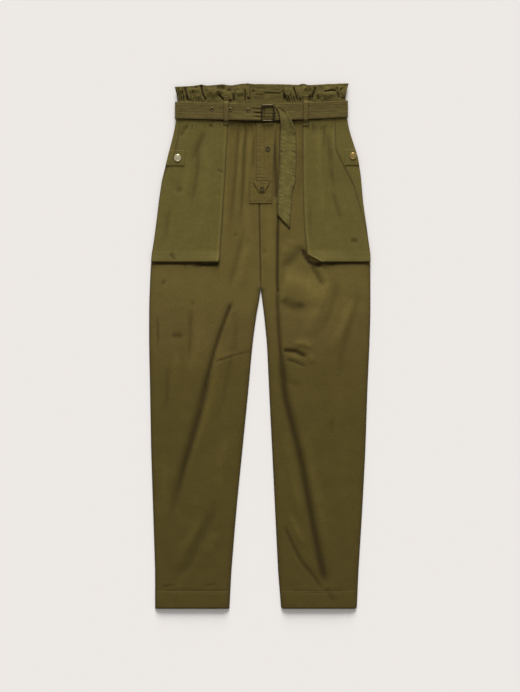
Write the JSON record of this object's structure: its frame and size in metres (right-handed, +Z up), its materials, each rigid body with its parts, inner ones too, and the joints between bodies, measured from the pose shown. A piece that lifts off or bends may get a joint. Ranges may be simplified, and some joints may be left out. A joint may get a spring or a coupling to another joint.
{
  "type": "paperbag waist trousers",
  "caption": "High waisted trousers with a gathered paperbag frill, buckled cloth belt, patch pockets and tapered legs, laid flat face up.",
  "frame": {"origin": "on the surface it lies on, under the middle of the garment's bounding box", "axes": "+Z up, out of the surface; +Y from the hems towards the waist; +X towards the wearer's left"},
  "size_m": [0.463, 1.1, 0.0151],
  "materials": {
    "twill": "olive cotton twill, fine weave, soft low sheen",
    "belt_cloth": "the same olive twill, doubled and stitched along its length",
    "gunmetal": "dark bronze plating, satin",
    "button": "dark olive button",
    "snap_brass": "pale gold cap, satin"
  },
  "bodies": {
    "root": {"belt": "belt_cloth", "belt_tail": "belt_cloth", "buckle_frame": "gunmetal", "buckle_prong": "gunmetal", "eyelet_inner": "gunmetal", "eyelet_middle": "gunmetal", "eyelet_outer": "gunmetal", "fly_base": "twill", "fly_button_lower": "button", "fly_button_upper": "button", "fly_placket": "twill", "fly_tab": "twill", "hip_facing_left": "twill", "hip_facing_right": "twill", "leg_back_left": "twill", "leg_back_right": "twill", "leg_front_left": "twill", "leg_front_right": "twill", "loop_back_centre": "twill", "loop_back_left": "twill", "loop_back_right": "twill", "loop_front_left": "twill", "loop_front_right": "twill", "pocket_patch_left": "twill", "pocket_patch_right": "twill", "pocket_tab_left": "twill", "pocket_tab_right": "twill", "snap_left": "snap_brass", "snap_right": "snap_brass", "waist_back": "twill", "waist_front_left": "twill", "waist_front_right": "twill", "waist_placket": "twill"}
  },
  "joints": []
}
